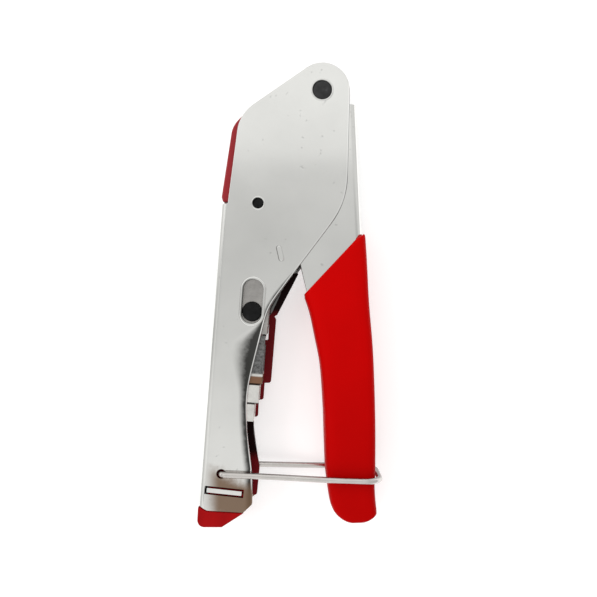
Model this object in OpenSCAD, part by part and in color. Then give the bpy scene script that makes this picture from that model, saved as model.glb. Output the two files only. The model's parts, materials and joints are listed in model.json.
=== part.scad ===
// Coaxial connector compression tool, closed and latched.
// The tool lies on its back: +X to the right, +Y towards the head, +Z up out of the front cheek.
// All shapes are drawn about the main pivot and its mid-plane, then moved so that the
// origin is the bottom centre of the whole tool.

/* [Body] */
// Width of the fixed body over both cheeks
body_w = 18; // [17:0.5:22]
// Thickness of the body's sheet steel
sheet = 2; // [1.6:0.1:2.2]
// Outside bend radius between web and cheeks
bend_r = 3.5; // [2.8:0.1:4]
// Distance from the main pivot down to the lower end of the cheeks
body_len = 176.9; // [172:1:214]
// Lean of the web away from the tool's upright
spine_tilt = 4.34; // [4:0.1:5]
// Radius of the rounded head about the main pivot
head_r = 11.6; // [10:0.2:13]
// How far the rear cheek's working edge stands past the front one
rear_reveal = 1.8; // [1:0.1:2.2]

/* [Pins and wire] */
// Diameter of the main pivot pin and of the plunger pin
pin_d = 8; // [6.6:0.1:9]
// Diameter of the pin between handle and link
link_pin_d = 6; // [5:0.1:7]
// Diameter of the cross pin that anchors the spring
anchor_d = 4.6; // [3.8:0.1:5.5]
// Radial running clearance of a pin in its bore
pin_clear = 0.05; // [0.02:0.01:0.1]
// Diameter of the bail's wire
wire_d = 2.5; // [2.1:0.1:3]
// Diameter of the bail's holes in the cheeks
bail_hole_d = 3.8; // [3.6:0.1:4.8]

/* [Linkage] */
// Distance from the main pivot to the link pin
crank_r = 26; // [24:0.5:27]
// Direction of the link pin seen from the main pivot
crank_angle = -104; // [-106:1:-101]
// Travel of the plunger
stroke = 8.2; // [7:0.1:8.6]
// Gap below the plunger pin at the lower end of its slots
slot_spare = 0.9; // [0.6:0.1:1.2]
// Radial room of the link pin in the link's upper eye
link_float = 1.5; // [1.4:0.1:1.8]

/* [Handle] */
// Side gap between the handle and each body cheek
side_gap = 0.5; // [0.4:0.05:0.8]
// Thickness of the handle's sheet steel
handle_sheet = 1.8; // [1.5:0.1:2]
// Thickness of the grip over the handle's cheeks
grip_wall = 4; // [3.4:0.1:5]
// Length of the grip from its top corner to its lower end
grip_len = 122; // [118:1:126]

/* [Cradle] */
// Radius of the trough for the widest connector
trough_r = 5; // [4.2:0.1:5.2]
// Step down in radius at each seat
seat_step = 0.65; // [0.4:0.05:0.8]
// Thickness of the red liner behind the cradle
liner_t = 1.6; // [1.2:0.1:1.8]

/* [Bail] */
// Room between the grip and the bail's arms
bail_slack = 1.15; // [0.6:0.05:2]
// Lean of the closed bail below the level
bail_lean = 2; // [1:0.5:3]

/* [Hidden] */
$fn = 64;

// widths across the tool, as half widths from its mid-plane
cheek_out = body_w / 2;
cheek_in = cheek_out - sheet;
handle_out = cheek_in - side_gap;
handle_in = handle_out - handle_sheet;
link_half = handle_in - 0.3;
plunger_half = cheek_in - 0.4;
grip_half = handle_out + grip_wall;
liner_top = -cheek_in + liner_t;

// places, from the main pivot
drawn_len = 176.9;
low = body_len - drawn_len;
slot_low = [-29.7, -93.2];
spine_off = 16.85;
anchor_at = [-27, -47.6];
bail_at = [-42.6, -161.4 - low];
link_pin_at = crank_r * [cos(crank_angle), sin(crank_angle)];
bail_reach = 66.9;
bail_arm_z = cheek_out + 0.35 + wire_d / 2;
bail_loop_z = grip_half + bail_slack + wire_d / 2;

// lengths that pass through the tool's thickness and along its whole length
through = 20;
far = 400;

// the whole tool's box, which places the origin
far_left = -52.9 - low * tan(spine_tilt);
far_right = bail_at[0] + (bail_reach + wire_d / 2) * cos(bail_lean);
far_low = -body_len - 7.2;
origin_shift = [
    -(far_left + far_right) / 2,
    -(head_r + far_low) / 2,
    bail_loop_z + wire_d / 2
];

// ---------------------------------------------------------------- outlines
function unit(v) = v / norm(v);

// the arc that rounds corner b between a and c, with the corner's own radius b[2]
function corner(a, b, c) =
    let (
        p = [b[0], b[1]],
        u = unit([a[0], a[1]] - p),
        v = unit([c[0], c[1]] - p),
        half = acos(u * v) / 2,
        centre = p + unit(u + v) * b[2] / sin(half),
        from = p + u * b[2] / tan(half) - centre,
        turn = 180 - 2 * half,
        way = (u[0] * v[1] - u[1] * v[0]) > 0 ? -1 : 1,
        steps = max(2, ceil(turn / 4))
    )
    b[2] == 0 ? [p] : [
        for (i = [0:steps])
            let (t = way * turn * i / steps)
            centre + [
                from[0] * cos(t) - from[1] * sin(t),
                from[0] * sin(t) + from[1] * cos(t)
            ]
    ];

// a closed outline from corners [x, y, radius]
function rounded(pts) =
    let (n = len(pts))
    [for (i = [0:n - 1]) each corner(pts[(i + n - 1) % n], pts[i], pts[(i + 1) % n])];

// a tube of radius r along path, with its rings turned about the direction up
module tube(path, r, up, sides = 10) {
    n = len(path);
    rings = [
        for (i = [0:n - 1])
            let (
                t = unit(path[min(i + 1, n - 1)] - path[max(i - 1, 0)]),
                side = unit(cross(t, up)),
                over = cross(side, t)
            )
            for (k = [0:sides - 1])
                path[i] + r * (cos(360 * k / sides) * side + sin(360 * k / sides) * over)
    ];
    walls = [
        for (i = [0:n - 2], k = [0:sides - 1])
            let (a = i * sides + k, b = i * sides + (k + 1) % sides)
            each [[a, b, b + sides], [a, b + sides, a + sides]]
    ];
    first = [for (k = [sides - 1:-1:0]) k];
    last = [for (k = [0:sides - 1]) (n - 1) * sides + k];
    polyhedron(points = rings, faces = concat(walls, [first], [last]), convexity = 6);
}

// ------------------------------------------------------------------ frames
module in_place() {
    translate(origin_shift) children();
}

// the plunger's own frame: origin on its pin, y along the slot
module on_slot(up = 0) {
    translate([slot_low[0], slot_low[1], 0]) rotate([0, 0, -spine_tilt]) translate([0, up, 0])
        children();
}

module rivet_place(y) {
    translate([rivet_x, y, -through]) children();
}

module across(half) {
    translate([0, 0, -half]) linear_extrude(2 * half) children();
}

// a channel's section: web on the left, both cheeks running to the right
module channel_section(half, t, r) {
    inner_r = r - t;
    difference() {
        union() {
            translate([r, -half]) square([far, 2 * half]);
            translate([0, r - half]) square([r + 1, 2 * (half - r)]);
            for (s = [-1, 1]) translate([r, s * (half - r)]) circle(r);
        }
        translate([r, t - half]) square([far + 1, 2 * (half - t)]);
        translate([t, r - half]) square([r, 2 * (half - r)]);
        for (s = [-1, 1]) translate([r, s * (half - r)]) circle(inner_r);
    }
}

// -------------------------------------------------------------- fixed body
function body_outline(reveal) = rounded([
    [-6.6, 9.55, 0],
    [-34.84, -9.93, 16],
    [-39.6, -46.3, 0],
    [-39.7, -47.8, 1],
    [-47, -47.8, 0],
    [-60 - low * 0.1, -174.6 - low, 0],
    [-53, -174.6 - low, 0],
    [-48.5, -176.9 - low, 2],
    [-33.3, -177.8 - low, 1.5],
    [-29.5 + reveal / 2, -174.2 - low, 1.5],
    [-29.3 + reveal, -162 - low, 60],
    [-31.8 + reveal, -143.8, 60],
    [-31.8 + reveal, -126.7, 62],
    [-22.9 + reveal, -91.4, 36],
    [10.4, -47.4, 33],
    [head_r, 0, 0],
    [0, 0, 0]
]);

slot_run = 9.5;

module slot_shape(r) {
    for (y = [-slot_spare, slot_run]) translate([0, y]) circle(r);
    translate([-r, -slot_spare]) square([2 * r, slot_run + slot_spare]);
}

module retainer_outline(grow) {
    bar = [14.9, 2];
    translate([-48.7, -168.2 - low]) rotate(-6) translate([-grow, -bar[1] / 2 - grow])
        square([bar[0] + 2 * grow, bar[1] + 2 * grow]);
}

module body_channel() {
    color("silver") in_place() difference() {
        intersection() {
            on_slot(far / 2) translate([-spine_off, 0, 0]) rotate([90, 0, 0])
                linear_extrude(far) channel_section(cheek_out, sheet, bend_r);
            union() {
                linear_extrude(cheek_out + 1) {
                    polygon(body_outline(0));
                    circle(head_r);
                }
                mirror([0, 0, 1]) linear_extrude(cheek_out + 1) {
                    polygon(body_outline(rear_reveal));
                    circle(head_r);
                }
            }
        }
        across(through) circle(d = pin_d);
        on_slot() across(through) slot_shape(pin_d / 2 + 0.15);
        translate([anchor_at[0], anchor_at[1], 0]) across(through) circle(d = anchor_d);
        translate([bail_at[0], bail_at[1], 0]) across(through) circle(d = bail_hole_d);
        across(through) retainer_outline(0.7);
        on_slot() for (y = rivet_y) rivet_place(y) cylinder(d = rivet_d, h = through);
    }
}

module window_guard() {
    color("crimson") in_place() across(cheek_in) polygon(rounded([
        [-31.4, -7.6, 0], [-38, -14.6, 10], [-42.6, -44.6, 0], [-42.1, -46.9, 1.1],
        [-38.6, -46.9, 0.8], [-36.6, -40, 0], [-34.2, -22, 9], [-29.8, -9.2, 0]
    ]));
}

module inner_liner() {
    color("darkred") in_place() difference() {
        translate([0, 0, -cheek_in]) linear_extrude(liner_t) polygon(rounded([
            [-9.8, -76.4, 0.5], [-12.4, -81.4, 0], [-19.4, -94.9, 0.4], [-20.6, -95.6, 0.3],
            [-19.9, -97, 0.8], [-22.2, -124.9, 1.2], [-25, -124.9, 0.4], [-25.5, -132.3, 1],
            [-27.6, -132.3, 0.4], [-27.9, -139.8, 1], [-29.8, -139.8, 0.4], [-29.8, -147, 20],
            [-27.2, -162, 8], [-28.4, -174.2, 1], [-30.4, -174.2, 0.4], [-30.4, -164.8, 0],
            [-48.6, -164.8, 0], [-44.2, -106, 0], [-23.4, -106, 0.6], [-22.8, -95.4, 0.5],
            [-21.6, -93.6, 0], [-20.1, -90.4, 12], [-16.6, -82.7, 12], [-12, -76.6, 0.4]
        ]));
        on_slot() for (y = rivet_y) rivet_place(y) cylinder(d = rivet_d, h = through);
    }
}

module end_plug() {
    color("firebrick") in_place() difference() {
        union() {
            across(cheek_in) polygon(rounded([
                [-48.3, -165.3 - low, 0.5], [-31, -165.3 - low, 0.5], [-31, -173.8 - low, 0],
                [-34.6, -178.4 - low, 0], [-49.2, -178.4 - low, 0]
            ]));
            across(cheek_out - 0.3) polygon(rounded([
                [-52.4, -175.3 - low, 0], [-48.45, -177.1 - low, 0], [-32.9, -178 - low, 0],
                [-42.4, -184.1 - low, 0.8], [far_left, -184.1 - low, 3]
            ]));
        }
        across(through) retainer_outline(0);
    }
}

module retainer_plate() {
    color("silver") in_place() across(cheek_out + 0.1) retainer_outline(0);
}

// cradle: stepped steel block with a trough open to the right
rivet_d = 4;
rivet_x = -10.5;
rivet_bite = 3;
rivet_y = [-24, -40];
seat_y = [-29, -39, -46.5];
step_y = [-30.6, -38.8];

module cradle() {
    block_left = -spine_off + sheet + 1.5;
    block_top = -9.8;
    nut_room = 5.6;
    nut_depth = 14.5;
    groove_w = 0.7;
    groove_depth = 0.6;
    color("gainsboro") in_place() on_slot() difference() {
        translate([0, 0, liner_top]) linear_extrude(cheek_in - liner_top) polygon([
            [block_left, block_top], [6.5, block_top], [6.5, step_y[0]], [5.6, step_y[0]],
            [5.6, step_y[1]], [4.1, step_y[1]], [4.1, seat_y[2]], [block_left, seat_y[2]]
        ]);
        rotate([90, 0, 0]) cylinder(r = nut_room, h = nut_depth);
        translate([0, -nut_depth, -nut_room]) cube([through, nut_depth, 2 * nut_room]);
        for (y = step_y) translate([-trough_r, y - groove_w / 2, cheek_in - groove_depth])
            cube([through, groove_w, sheet]);
        for (i = [0:2]) {
            r = trough_r - i * seat_step;
            top = i == 0 ? block_top : seat_y[i - 1] + 1;
            rotate([90, 0, 0]) translate([0, 0, -top]) cylinder(r = r, h = top - seat_y[i] + 0.01);
            translate([0, seat_y[i] - 0.01, -r]) cube([through, top - seat_y[i] + 0.01, 2 * r]);
        }
        for (y = rivet_y) rivet_place(y)
            cylinder(d = rivet_d, h = through + liner_top + rivet_bite);
    }
}

module cradle_rivets() {
    color("dimgray") in_place() on_slot() for (y = rivet_y) translate([rivet_x, y, -cheek_out])
        cylinder(d = rivet_d, h = cheek_out + liner_top + rivet_bite);
}

module main_pivot_pin() {
    color("#1c1c1c") in_place() across(cheek_out) circle(d = pin_d);
}

module pivot_bush() {
    bush_wall = 1.6;
    color("goldenrod") in_place() across(handle_in - 0.2) difference() {
        circle(r = pin_d / 2 + bush_wall);
        circle(r = pin_d / 2);
    }
}

module pivot_washers() {
    play = 0.05;
    rim = 4;
    color("goldenrod") in_place() for (s = [-1, 1])
        translate([0, 0, s * (handle_out + side_gap / 2 + play)])
            across(side_gap / 2 - play) difference() {
                circle(r = pin_d / 2 + rim);
                circle(r = pin_d / 2);
            }
}

module spring_anchor_pin() {
    color("#1c1c1c") in_place() translate([anchor_at[0], anchor_at[1], 0])
        across(cheek_out - 0.6) circle(d = anchor_d);
}

// torsion spring: a coil round the bush, one leg to the anchor pin, one along the handle's web
coil_r = pin_d / 2 + 3;
coil_wire = 0.65;
coil_half = handle_in - 1.1;

module return_spring() {
    turns = 4.5;
    steps = 108;
    anchor_leg = [anchor_at[0] - anchor_d / 2 - coil_wire - 1.5, anchor_at[1] - 2, -coil_half];
    coil = [
        for (i = [0:steps])
            let (a = 180 - 360 * turns * i / steps)
            [coil_r * cos(a), coil_r * sin(a), -coil_half + 2 * coil_half * i / steps]
    ];
    path = concat([anchor_leg], [for (p = coil) p], [[12.0, -26, coil_half]]);
    color("gray") in_place() tube(path, coil_wire, [0, 0, 1], 8);
}

// ------------------------------------------------------------------ handle
handle_tilt = 2.6;
handle_bend_r = 3.2;
handle_web_top = [14.6, -5.2];
grip_top = -60.3;
grip_end = grip_top - grip_len;
steel_end = grip_end + 26;

module handle_channel() {
    outline = rounded([
        [-11, 2, 0], [-15.6, -24, 7], [-15.0, -45, 10], [-9.4, -72.8, 6], [-5.2, -90, 12],
        [2.9, -122, 30], [3.4, steel_end, 3], [30, steel_end, 0], [30, handle_web_top[1], 0],
        [10, handle_web_top[1], 0], [8.5, 3, 0]
    ]);
    color("silver") in_place() difference() {
        intersection() {
            translate([handle_web_top[0], handle_web_top[1], 0]) rotate([0, 0, handle_tilt])
                translate([0, far / 2, 0]) mirror([1, 0, 0]) rotate([90, 0, 0])
                    linear_extrude(far) channel_section(handle_out, handle_sheet, handle_bend_r);
            across(handle_out + 1) {
                polygon(outline);
                circle(r = 10.4);
            }
        }
        across(through) circle(r = pin_d / 2 + pin_clear);
        translate([link_pin_at[0], link_pin_at[1], 0]) across(through) circle(d = link_pin_d);
    }
}

function grip_outline() = rounded([
    [18.3, grip_top, 1.2], [15.2, grip_top - 0.7, 4], [4.2, -74.6, 0], [-7.8, -86.2, 2],
    [-2.1, -105.5, 50], [0.7, -128, 60], [1.9, -160, 40], [3.6, grip_end + 7, 8],
    [8.2, grip_end + 0.6, 8], [14.6, grip_end - 0.3, 12], [21, grip_end + 0.8, 7],
    [23.4, grip_end + 3.4, 1.4], [22.6, -172, 0], [22.5, -140, 60], [21.5, -111, 60]
]);

module handle_grip() {
    color("red") in_place() difference() {
        union() {
            across(grip_half - 3.4) polygon(grip_outline());
            across(grip_half - 1.2) offset(delta = -0.9) polygon(grip_outline());
            across(grip_half) offset(delta = -2.9) polygon(grip_outline());
        }
        across(handle_out) intersection() {
            polygon(rounded([
                [-30, -60, 0], [-9.4, -72.8, 6], [-5.2, -90, 12], [2.9, -122, 30],
                [3.4, steel_end, 3], [30, steel_end, 0], [30, -50, 0], [-30, -50, 0]
            ]));
            translate(handle_web_top) rotate(handle_tilt) translate([-far, -far]) square([far, 2 * far]);
        }
    }
}

module link_pin() {
    color("#303030") in_place() translate([link_pin_at[0], link_pin_at[1], 0])
        across(handle_out) circle(d = link_pin_d);
}

// -------------------------------------------------------- link and plunger
module link() {
    way = link_pin_at - slot_low;
    run = norm(way);
    eye = link_pin_d / 2 + link_float;
    color("slategray") in_place() translate([slot_low[0], slot_low[1], 0])
        rotate([0, 0, atan2(way[1], way[0])]) across(link_half) difference() {
            union() {
                circle(r = pin_d / 2 + 2.4);
                translate([run, 0]) circle(r = eye + 2.6);
                translate([0, -link_w / 2]) square([run, link_w]);
            }
            circle(r = pin_d / 2 + pin_clear);
            translate([run, 0]) circle(r = eye);
        }
}

fork_floor = -(pin_d / 2 + 2.8);
fork_top = 14.5;
block_low = fork_floor - 2.6;
nut_low = block_low - 1.8;
tip_low = nut_low - 2.6;
shank_d = 5;
plunger_w = 14;
link_w = 9.2;
link_gap = 0.2;

module plunger() {
    color("darkgray") in_place() on_slot() difference() {
        translate([-plunger_w / 2, block_low, -plunger_half])
            cube([plunger_w, fork_top - block_low, 2 * plunger_half]);
        translate([-plunger_w, fork_floor, -link_half - link_gap])
            cube([2 * plunger_w, far, 2 * (link_half + link_gap)]);
        across(through) circle(d = pin_d);
        rotate([90, 0, 0]) cylinder(d = shank_d, h = far);
    }
}

module plunger_pin() {
    color("#1c1c1c") in_place() on_slot() across(cheek_out) circle(d = pin_d);
}

module plunger_tip() {
    color("dimgray") in_place() on_slot() rotate([90, 0, 0]) difference() {
        union() {
            translate([0, 0, -fork_floor]) cylinder(d = shank_d, h = fork_floor - nut_low);
            translate([0, 0, -nut_low]) cylinder(d = 8.6, h = nut_low - tip_low);
        }
        translate([0, 0, -nut_low + 0.8]) cylinder(d = 2.2, h = 10);
    }
}

module lock_nut() {
    color("gray") in_place() on_slot(nut_low) rotate([-90, 0, 0]) difference() {
        cylinder(d = 10.4, h = block_low - nut_low, $fn = 6);
        translate([0, 0, -1]) cylinder(d = shank_d, h = 10);
    }
}

// -------------------------------------------------------------------- bail
module bail_wire() {
    bend = 2.4;
    loop_bend = 6.5;
    s = [for (i = [0:6]) i / 6];
    front = concat(
        [[0, 0, cheek_in], [0, 0, cheek_out]],
        [for (t = s) [bend - bend * cos(90 * t), 0, bail_arm_z - bend + bend * sin(90 * t)]],
        [for (t = s) [12 + 40 * t, 0, bail_arm_z + (bail_loop_z - bail_arm_z) * (3 - 2 * t) * t * t]],
        [for (t = s) [
            bail_reach - loop_bend + loop_bend * sin(90 * t), 0,
            bail_loop_z - loop_bend + loop_bend * cos(90 * t)
        ]]
    );
    back = [for (i = [len(front) - 1:-1:0]) [front[i][0], 0, -front[i][2]]];
    color("lightgray") in_place() translate([bail_at[0], bail_at[1], 0]) rotate([0, 0, -bail_lean])
        tube(concat(front, back), wire_d / 2, [0, 1, 0]);
}

body_channel();
window_guard();
inner_liner();
end_plug();
retainer_plate();
cradle();
cradle_rivets();
main_pivot_pin();
pivot_bush();
pivot_washers();
spring_anchor_pin();
return_spring();
handle_channel();
handle_grip();
link_pin();
link();
plunger();
plunger_pin();
plunger_tip();
lock_nut();
bail_wire();
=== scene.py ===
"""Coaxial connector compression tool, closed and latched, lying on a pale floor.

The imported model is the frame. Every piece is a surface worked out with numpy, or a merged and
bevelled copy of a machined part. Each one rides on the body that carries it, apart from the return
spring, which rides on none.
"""

import json
import math

import bmesh
import bpy
import numpy as np
from bpy.props import FloatProperty, FloatVectorProperty, PointerProperty
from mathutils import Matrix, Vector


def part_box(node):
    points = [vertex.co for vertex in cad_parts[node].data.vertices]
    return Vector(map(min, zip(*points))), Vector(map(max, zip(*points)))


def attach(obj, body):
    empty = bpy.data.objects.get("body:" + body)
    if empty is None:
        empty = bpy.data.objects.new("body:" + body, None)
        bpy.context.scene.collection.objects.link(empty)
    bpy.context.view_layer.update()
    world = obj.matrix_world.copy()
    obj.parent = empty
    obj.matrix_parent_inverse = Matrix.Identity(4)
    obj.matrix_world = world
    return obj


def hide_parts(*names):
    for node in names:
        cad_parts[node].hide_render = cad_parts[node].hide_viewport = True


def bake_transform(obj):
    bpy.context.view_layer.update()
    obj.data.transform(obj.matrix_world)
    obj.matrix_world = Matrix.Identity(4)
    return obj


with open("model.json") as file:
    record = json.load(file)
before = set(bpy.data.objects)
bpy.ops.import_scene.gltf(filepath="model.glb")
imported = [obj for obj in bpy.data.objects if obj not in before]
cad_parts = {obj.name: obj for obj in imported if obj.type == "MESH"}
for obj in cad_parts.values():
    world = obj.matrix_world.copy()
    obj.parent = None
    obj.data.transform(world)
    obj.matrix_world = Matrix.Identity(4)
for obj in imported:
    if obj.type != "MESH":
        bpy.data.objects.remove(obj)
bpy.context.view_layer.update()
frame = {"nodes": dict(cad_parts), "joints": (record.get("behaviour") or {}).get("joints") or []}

bl_info = {
    "name": "Coaxial compression tool",
    "version": (1, 0, 0),
    "blender": (4, 5, 0),
    "location": "View3D > Sidebar > Tool maker",
    "description": "Builds a chrome compression tool with a red grip and a wire bail",
    "category": "Mesh",
}

MM = 0.001
JOINTS = {j["name"]: j for j in frame["joints"]}
PIVOT = np.array(JOINTS["handle_swing"]["pos_m"])
PLUNGER = np.array(JOINTS["link_swing"]["pos_m"])
BAIL = np.array(JOINTS["bail_swing"]["pos_m"])
SLOT_UP = np.array(JOINTS["plunger_slide"]["axis"])
# From the plunger pin's closed place to the centres of the slot's upper and lower ends.
SLOT_RUN = 9.5 * MM
SLOT_SPARE = 0.9 * MM
# How deep the foot of a bead lies under the cheek's face, so that the two never coincide.
SUNK = 0.01 * MM


def node_box(node):
    """The lowest and highest corners of a frame node as two arrays."""
    low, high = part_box(node)
    return np.array(low), np.array(high)


BODY_LOW, BODY_HIGH = node_box("body_channel")
GRIP_LOW, GRIP_HIGH = node_box("handle_grip")
MID_Z = (BODY_LOW[2] + BODY_HIGH[2]) / 2
CHEEK_HALF = (BODY_HIGH[2] - BODY_LOW[2]) / 2
GRIP_HALF = (GRIP_HIGH[2] - GRIP_LOW[2]) / 2
SPINE_WAY = np.array([SLOT_UP[1], -SLOT_UP[0], 0.0])


def below(drop):
    """The place along y that is a drop in millimetres below the main pivot."""
    return PIVOT[1] - drop * MM


def beside(x, y):
    """The point x and y millimetres from the main pivot, at the pivot's height."""
    return PIVOT + np.array([x, y, 0.0]) * MM


# ------------------------------------------------------------------ settings
def length(name, text, default):
    """A length property in metres."""
    return FloatProperty(name=name, description=text, default=default, min=0.0, unit="LENGTH")


def colour(name, text, default):
    """A linear colour property."""
    return FloatVectorProperty(
        name=name, description=text, default=default, min=0.0, max=1.0, size=3, subtype="COLOR"
    )


class ToolSizes(bpy.types.PropertyGroup):
    edge: length("Edge break", "Rounding of every cut steel edge", 0.25 * MM)
    rolled_edge: length("Rolled edge", "Widest reach of the sheet's roll at its working edge", 12.5 * MM)
    rim_width: length("Slot bead", "Width of the coined bead round the slot", 1.25 * MM)
    rim_height: length("Bead height", "Height of the coined bead", 0.3 * MM)
    ring_width: length("Hole bead", "Width of the coined bead round a hole", 0.75 * MM)
    grip_lip: length("Grip lip", "Rounding of the grip's upper end", 0.8 * MM)
    wire: length("Bail wire", "Radius of the bail's wire", 1.25 * MM)
    spring_wire: length("Spring wire", "Radius of the return spring's wire", 0.65 * MM)


class ToolColours(bpy.types.PropertyGroup):
    chrome: colour("Chrome", "Plated sheet steel", (0.83, 0.83, 0.815))
    vinyl: colour("Grip red", "Soft vinyl of the grip", (0.48, 0.0004, 0.0004))
    moulding: colour("Moulding red", "Hard red mouldings", (0.24, 0.008, 0.013))
    end_red: colour("End red", "Softer red of the end plug", (0.30, 0.004, 0.005))
    oxide: colour("Black oxide", "Blackened pins", (0.018, 0.018, 0.019))
    steel: colour("Cradle steel", "Bare steel of the stepped cradle", (0.62, 0.61, 0.59))
    floor: colour("Floor", "Pale studio floor", (0.62, 0.62, 0.62))
    glow: colour("Floor glow", "Light that comes through the studio floor", (0.5, 0.5, 0.5))


def sizes():
    return bpy.context.scene.tool_sizes


def colours():
    return bpy.context.scene.tool_colours


# ----------------------------------------------------------------- materials
class Nodes:
    """A small builder of shader nodes for one material, over Object coordinates."""

    def __init__(self, name):
        self.material = bpy.data.materials.new(name)
        self.material.use_nodes = True
        self.tree = self.material.node_tree
        self.shader = self.tree.nodes["Principled BSDF"]
        self.place = self.tree.nodes.new("ShaderNodeTexCoord").outputs["Object"]

    def link(self, source, target):
        self.tree.links.new(source, target)

    def stretched(self, scale, turn=(0.0, 0.0, 0.0)):
        """Object coordinates, turned and scaled along each axis."""
        node = self.tree.nodes.new("ShaderNodeMapping")
        node.inputs["Rotation"].default_value = turn
        node.inputs["Scale"].default_value = scale
        self.link(self.place, node.inputs["Vector"])
        return node.outputs["Vector"]

    def math(self, operation, *values):
        """A maths node over numbers or sockets."""
        node = self.tree.nodes.new("ShaderNodeMath")
        node.operation = operation
        for socket, value in zip(node.inputs, values):
            if hasattr(value, "node"):
                self.link(value, socket)
            else:
                socket.default_value = value
        return node.outputs[0]

    def along(self, direction):
        """The place measured along a direction."""
        node = self.tree.nodes.new("ShaderNodeVectorMath")
        node.operation = "DOT_PRODUCT"
        node.inputs[1].default_value = direction
        self.link(self.place, node.inputs[0])
        return node.outputs["Value"]

    def away_from(self, point):
        """The distance to a point."""
        node = self.tree.nodes.new("ShaderNodeVectorMath")
        node.operation = "DISTANCE"
        node.inputs[1].default_value = point
        self.link(self.place, node.inputs[0])
        return node.outputs["Value"]

    def between(self, value, low, high, first=0.0, last=1.0):
        """A smooth step of value, from first at low to last at high."""
        node = self.tree.nodes.new("ShaderNodeMapRange")
        node.interpolation_type = "SMOOTHSTEP"
        for key, number in zip(("From Min", "From Max", "To Min", "To Max"), (low, high, first, last)):
            node.inputs[key].default_value = number
        self.link(value, node.inputs["Value"])
        return node.outputs["Result"]

    def attribute(self, name):
        """A number that the piece carries at each point."""
        node = self.tree.nodes.new("ShaderNodeAttribute")
        node.attribute_name = name
        return node.outputs["Fac"]

    def noise(self, scale, detail=3.0, roughness=0.5, vector=None):
        """Fractal noise, mostly from 0.3 to 0.7, its scale in cells a metre."""
        node = self.tree.nodes.new("ShaderNodeTexNoise")
        node.inputs["Scale"].default_value = scale
        node.inputs["Detail"].default_value = detail
        node.inputs["Roughness"].default_value = roughness
        self.link(vector or self.place, node.inputs["Vector"])
        return node.outputs["Fac"]

    def ramp(self, value, stops):
        """A colour ramp: stops are (place, grey or colour)."""
        node = self.tree.nodes.new("ShaderNodeValToRGB")
        line = node.color_ramp.elements
        while len(line) < len(stops):
            line.new(0.5)
        for element, (place, shade) in zip(line, stops):
            element.position = place
            rgb = shade if isinstance(shade, tuple) else (shade, shade, shade)
            element.color = (*rgb, 1.0)
        self.link(value, node.inputs["Fac"])
        return node.outputs["Color"]

    def spread(self, value, low, high):
        """A value from 0.3 to 0.7 spread between low and high."""
        node = self.tree.nodes.new("ShaderNodeMapRange")
        for key, number in zip(("From Min", "From Max", "To Min", "To Max"), (0.3, 0.7, low, high)):
            node.inputs[key].default_value = number
        self.link(value, node.inputs["Value"])
        return node.outputs["Result"]

    def blend(self, factor, first, second, mode="MIX"):
        """The first colour mixed with the second by a factor; each is a socket or a plain value."""
        node = self.tree.nodes.new("ShaderNodeMix")
        node.data_type = "RGBA"
        node.blend_type = mode
        # A Mix node's colour inputs are its sockets 6 and 7, and its colour result is output 2.
        for index, source in ((0, factor), (6, first), (7, second)):
            socket = node.inputs[index]
            if isinstance(source, (int, float)):
                socket.default_value = source
            elif isinstance(source, tuple):
                socket.default_value = (*source, 1.0)
            else:
                self.link(source, socket)
        return node.outputs[2]

    def bump(self, *layers):
        """Bump layers (height, distance in metres, strength), one over the other."""
        normal = None
        for height, distance, strength in layers:
            node = self.tree.nodes.new("ShaderNodeBump")
            node.inputs["Distance"].default_value = distance
            node.inputs["Strength"].default_value = strength
            self.link(height, node.inputs["Height"])
            if normal:
                self.link(normal, node.inputs["Normal"])
            normal = node.outputs["Normal"]
        self.link(normal, self.shader.inputs["Normal"])

    def set(self, **values):
        """Sets or links the shader's own sockets, and gives back the material."""
        for key, value in values.items():
            socket = self.shader.inputs[key.replace("_", " ")]
            if hasattr(value, "node"):
                self.link(value, socket)
            else:
                socket.default_value = value
        return self.material


def shade(base, factor):
    """A colour made lighter or darker."""
    return tuple(min(1.0, c * factor) for c in base)


# The front cheek's working edge from the head down, in millimetres from the main pivot.
WORKING_EDGE = (
    (11.6, 0.0), (10.4, -47.4), (-22.9, -91.4), (-31.8, -126.7), (-31.8, -143.8), (-29.3, -162.0),
    (-29.5, -174.2),
)


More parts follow.
